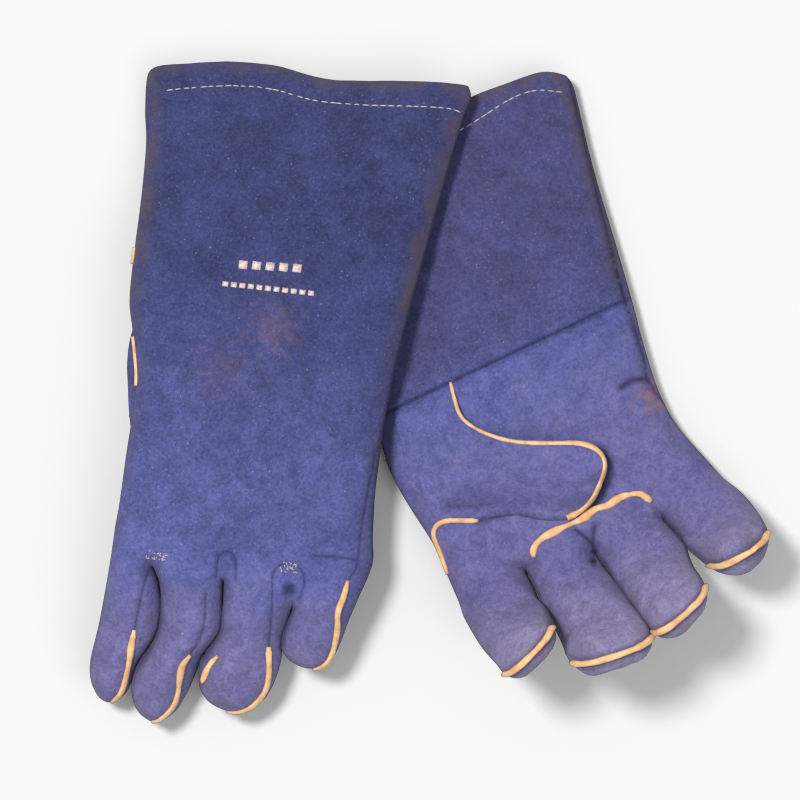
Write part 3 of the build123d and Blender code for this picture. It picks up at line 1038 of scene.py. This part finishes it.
def surface_welt(skin, points, side, seed, width, height):
    """A welt that lies on the leather."""
    line = spline(points, 1.6)
    path = soften(skin.at(line, side, raise_by=0.45), 2)
    normals = unit(soften(skin.normal(line, side), 4))
    widths = strip_widths(len(path), seed, width)
    return tube(path, normals, widths, height * (0.7 + 0.3 * widths / width))


def edge_fin(skin, low, high, seed, width, reach=0.4):
    """A welt that stands out of the sewn edge between two corners of the plan."""
    line = spline(skin.edge[((skin.edge > low) & (skin.edge < high)).all(1)][::2], 1.6)
    within = line + inward_from(line, skin.outline) * 2.0
    here = skin.at(line, 1)
    out = unit(soften(unit(here - (skin.at(within, 1) + skin.at(within, -1)) / 2), 6))
    return tube(soften(here, 3) + out * reach, out, strip_widths(len(line), seed, width), 1.6, power=0.7)


def stitch(skin, p, side, raise_by, half_width, half_height):
    """One stitch of thread through plan points."""
    path = skin.at(p, side, raise_by=raise_by)
    return tube(path, skin.normal(p, side), half_width, half_height, sides=6, power=1.0)


def hem(skin):
    """Separate stitches along the hem, on both sides."""
    line = spline(skin.g["hem"], 0.5)
    total = run_along(line)[-1]
    arch = np.sin(np.linspace(0, math.pi, 7))
    thick = HEM_THREAD * (0.45 + 0.55 * arch)
    for key, side, seed in (("top", 1, 5), ("under", -1, 6)):
        rng = np.random.default_rng(seed)
        parts = []
        s = HEM_PITCH / 2
        while s + HEM_STITCH < total:
            start = s + rng.normal(0, 0.08 * HEM_PITCH)
            p = along(line, np.linspace(start, start + HEM_STITCH * rng.uniform(0.7, 1.1), 7))
            parts.append(stitch(skin, p, side, 0.05 + 0.28 * arch, thick, 0.8 * thick))
            s += HEM_PITCH
        add_piece(skin, f"hem_thread_{key}", merged(parts), THREAD, ["hem_stitching"] if side > 0 else [])


class ThumbPad:
    """Thumb and gusset folded over the palm, as one padded patch on the palm's surface."""

    def __init__(self, skin):
        self.skin = skin
        self.side = skin.palm_side
        self.top_line = spline(THUMB_TOP, 1.6)
        self.foot = spline(THUMB_FOOT, 2.0)
        self.free = np.vstack([self.top_line, self.foot[1:]])
        rim = spline([*THUMB_RIM_START, *skin.g["thumb_rim"], *THUMB_RIM_END], 2.4)
        self.outline = np.vstack([self.free, rim[1:-1]])

    def shape(self, p):
        """Height of the thumb's upper surface and of its underside over the palm."""
        a = (p - THUMB_ROOT) @ THUMB_DIRECTION
        b = (p - THUMB_ROOT) @ [-THUMB_DIRECTION[1], THUMB_DIRECTION[0]]
        tall = 2.0 + 10.5 * smooth(-34, 4, a) + 4.0 * smooth(25, 52, a)
        middle = 7.5 * smooth(-22, 12, a) * smooth(-30, -10, b)
        roundness = 3.0 + 14.0 * smooth(-34, 0, a)
        profile = dome(np.clip(distance_to(p, self.free) / roundness, 0, 1))
        x, y = p.T
        rim_gap = np.minimum(np.minimum(x + 73.5, -1.8 - y), (y + 74.5) * 0.8 + (x + 52) * 0.42)
        sink = smooth(0, 16, rim_gap) * (0.12 + 0.88 * smooth(-2, 26, distance_to(p, self.foot)))
        top = (middle + (tall - middle) * profile) * sink - 1.2 * (1 - smooth(0, 3, rim_gap))
        top += (0.5 * ripples(p, 30, 71) + 0.2 * ripples(p, 11, 72)) * profile * sink
        top -= 1.4 * bell(distance_to(p, THUMB_CREASE), 2.4) * sink
        return top, np.minimum(middle * (1 - profile) * sink, top - 1.0)

    def at(self, p, upper=True):
        top, under = self.shape(p)
        return self.skin.over_palm(p, (top if upper else under) + 0.5)

    def normal(self, p, e=0.3):
        a = self.at(p + [e, 0]) - self.at(p - [e, 0])
        b = self.at(p + [0, e]) - self.at(p - [0, e])
        return unit(np.cross(a, b) * self.side)


def thumb_leather(skin, pad):
    """The gusset, which stays on the hand, and the thumb's two sides."""
    plan, tris = plan_mesh(pad.outline, [])
    on_edge = distance_to(plan, closed(pad.outline)) < SEWN
    upper, lower = pad.at(plan), pad.at(plan, upper=False)
    upper[on_edge] = (upper[on_edge] + lower[on_edge]) / 2
    verts = np.vstack([upper, lower])
    faces = sewn_faces(tris, on_edge)
    if pad.side < 0:
        faces = faces[:, ::-1]
    marks = leather_marks(skin, plan, pad.side)
    # painted shade along the thumb's foot and in the fold across its root
    painted_foot_shade = 0.5 * smooth(3.5, 0.2, distance_to(plan, pad.foot))
    marks[:, PAINTED_SHADE] = np.maximum(painted_foot_shade, 0.45 * bell(distance_to(plan, THUMB_CREASE), 1.6))
    marks[:, STAIN] = 0
    on_thumb = np.tile((plan[tris].mean(1) - THUMB_ROOT) @ THUMB_DIRECTION > THUMB_JOINT[0], 2)
    is_upper = np.arange(len(faces)) < len(tris)
    groups = (("thumb_gusset", ~on_thumb), ("thumb_back", on_thumb & is_upper),
              ("thumb_front", on_thumb & ~is_upper))
    add_leather(skin, verts, faces, groups, np.full(len(verts), THUMB_LEATHER), np.tile(marks, (2, 1)))


def thumb_welts(skin, pad):
    """The welt in the S-shaped seam, and its wider end round the thumb."""
    turn = int(np.argmax(pad.top_line[:, 1] < -27))
    for key, line, widening, part in (("thumb_seam_welt", pad.top_line[: turn + 1], 0.0, "hand"),
                                      ("thumb_welt", pad.top_line[turn:], 0.75, "thumb")):
        line = spline(line[::2], 1.5)
        within = line + inward_from(line, pad.outline) * 0.9
        path = pad.at(within) * 0.75 + pad.at(line) * 0.25
        path[:, 2] += pad.side * 0.3
        wide = 1.1 + widening * smooth(0.25, 0.5, np.linspace(0, 1, len(line)))
        strip = tube(path, pad.normal(within), strip_widths(len(line), 21, wide), 1.0)
        add_piece(skin, f"{key}_strip", strip, WELT, [key], part, bends=part == "thumb")


def palm_welts(skin):
    """The welts across the base of the fingers."""
    base = surface_welt(skin, MIDDLE_BASE_WELT, skin.palm_side, 1, 1.9, 1.2)
    add_piece(skin, "middle_base_strip", base, WELT, ["finger_base_welts"])
    line = np.array(INDEX_BASE_WELT, float)
    short = surface_welt(skin, line[inside(line, skin.outline)], skin.palm_side, 2, 1.4, 1.0)
    add_piece(skin, "index_base_strip", short, WELT)


def finger_welts(skin):
    """Welts that stand round the right glove's fingertips and lie along the left glove's."""
    for i, finger in enumerate(FINGERS):
        if skin.palm_up:
            tip = skin.g["tips"][finger]
            low, (high_x, _) = np.min(tip, 0), np.max(tip, 0)
            fin = edge_fin(skin, low - [2, 5], (high_x + 1.5, low[1] + 17), 40 + i, 1.6)
            add_piece(skin, f"{finger}_tip_strip", fin, WELT, [f"{finger}_welt"], finger)
            continue
        for k, line in enumerate(BACK_WELTS[finger]):
            strip = surface_welt(skin, line, 1, 30 + i + 10 * k, 1.65, 1.0)
            add_piece(skin, f"{finger}_tip_strip_{k}", strip, WELT, [] if k else [f"{finger}_welt"], finger)


def side_welts(skin):
    """Short welts in the thumb side's seam: in the left glove's edge, on the right glove's back."""
    if skin.palm_up:
        behind = [(x + 2.5, y) for x, y in skin.g["thumb_side"] if -56 < y < 70]
        strip = surface_welt(skin, behind, -1, 63, 1.2, 0.9)
        add_piece(skin, "side_strip_behind", strip, WELT, ["side_welt"])
        return
    for k, (low_y, high_y) in enumerate(SIDE_FIN_SPANS):
        fin = edge_fin(skin, (-100, low_y), (-50, high_y), 60 + k, 0.9, reach=-0.3)
        add_piece(skin, f"side_strip_{k}", fin, WELT, [] if k else ["side_welt"])


def bartacks(skin):
    """Tight groups of pale stitches at the finger crotches of the back."""
    rng = np.random.default_rng(77)
    arch = np.sin(np.linspace(0, math.pi, 5))
    for finger, centre, spread, count in BARTACKS:
        parts = []
        for _ in range(count):
            middle = centre + rng.uniform(-0.62, 0.62, 2) * spread
            angle = rng.uniform(-0.7, 0.7) + math.pi / 2 * rng.integers(0, 2)
            reach = np.array([math.cos(angle), math.sin(angle)]) * rng.uniform(0.35, 0.8)
            p = middle + np.linspace(-1, 1, 5)[:, None] * reach
            parts.append(stitch(skin, p, 1, 0.05 + 0.2 * arch, 0.22 * (0.4 + 0.6 * arch), 0.18))
        add_piece(skin, f"{finger}_bartack", merged(parts), THREAD, [], finger, bends=True)


def stamp(skin):
    """A generic foil mark: a row of thick bars over a row of thin ones."""
    bars = [((-16.5 + 7.2 * i, 28.0 + 0.5 * i), (4.6, 4.4)) for i in range(5)]
    bars += [((-24.5 + 4.6 * i, 16.6 + 0.1 * i), (3.1, 2.6)) for i in range(11)]
    grid = np.array([(x, y) for y in (-0.5, 0, 0.5) for x in (-0.5, 0, 0.5)])
    faces = [[i, i + 1, i + 4, i + 3] for i in (0, 1, 3, 4)]
    parts = [(skin.at(grid * size + centre, 1, raise_by=0.14), faces) for centre, size in bars]
    thicken(add_piece(skin, "foil_mark", merged(parts), FOIL), FOIL_SHEET)


def build_glove(skin):
    pad = ThumbPad(skin)
    leather_pieces(skin)
    lining_piece(skin)
    thumb_leather(skin, pad)
    thumb_welts(skin, pad)
    palm_welts(skin)
    finger_welts(skin)
    side_welts(skin)
    hem(skin)
    if not skin.palm_up:
        bartacks(skin)
        stamp(skin)


# ---------------------------------------------------------------- stage

def add_floor():
    """A table top that only catches shadows."""
    bpy.ops.mesh.primitive_plane_add(size=40, location=(0, 0, -0.0006))
    floor = bpy.context.object
    floor.name = "floor"
    floor.data.materials.append(Look("pale_floor").finish((0.9, 0.9, 0.9, 1), 0.9))
    floor.is_shadow_catcher = True


def add_world():
    """Soft grey light from all round, seen as near white by the camera."""
    world = bpy.data.worlds.new("studio")
    bpy.context.scene.world = world
    world.use_nodes = True
    nodes = Nodes(world.node_tree)
    seen = nodes.add("LightPath", {}).outputs["Is Camera Ray"]
    background = nodes.tree.nodes["Background"]
    nodes.feed(background.inputs["Color"], nodes.mix(seen, (0.48, 0.49, 0.5, 1), (0.97, 0.97, 0.97, 1)))


def add_light(name, location, size, energy):
    """A round lamp that points at the gloves."""
    light = bpy.data.lights.new(name, "AREA")
    light.shape = "DISK"
    light.size = size
    light.energy = energy
    obj = link(name, light)
    obj.location = location
    obj.rotation_euler = (Vector(LIGHT_AIM) - Vector(location)).to_track_quat("-Z", "Y").to_euler()


def add_camera():
    """Straight down, with a long lens."""
    camera = bpy.data.cameras.new("camera")
    camera.sensor_width = SENSOR
    camera.lens = SENSOR * VIEW_DISTANCE / VIEW_WIDTH
    obj = link("camera", camera)
    obj.location = CAMERA_PLACE
    bpy.context.scene.camera = obj


for glove_name in GLOVES:
    build_glove(Skin(glove_name))
add_floor()
add_world()
add_light("key", (-0.52, 0.3, 1.25), 0.3, 19.5)
add_light("fill", (0.6, -0.6, 1.2), 1.2, 6)
add_camera()
bpy.context.scene.view_settings.view_transform = "Standard"
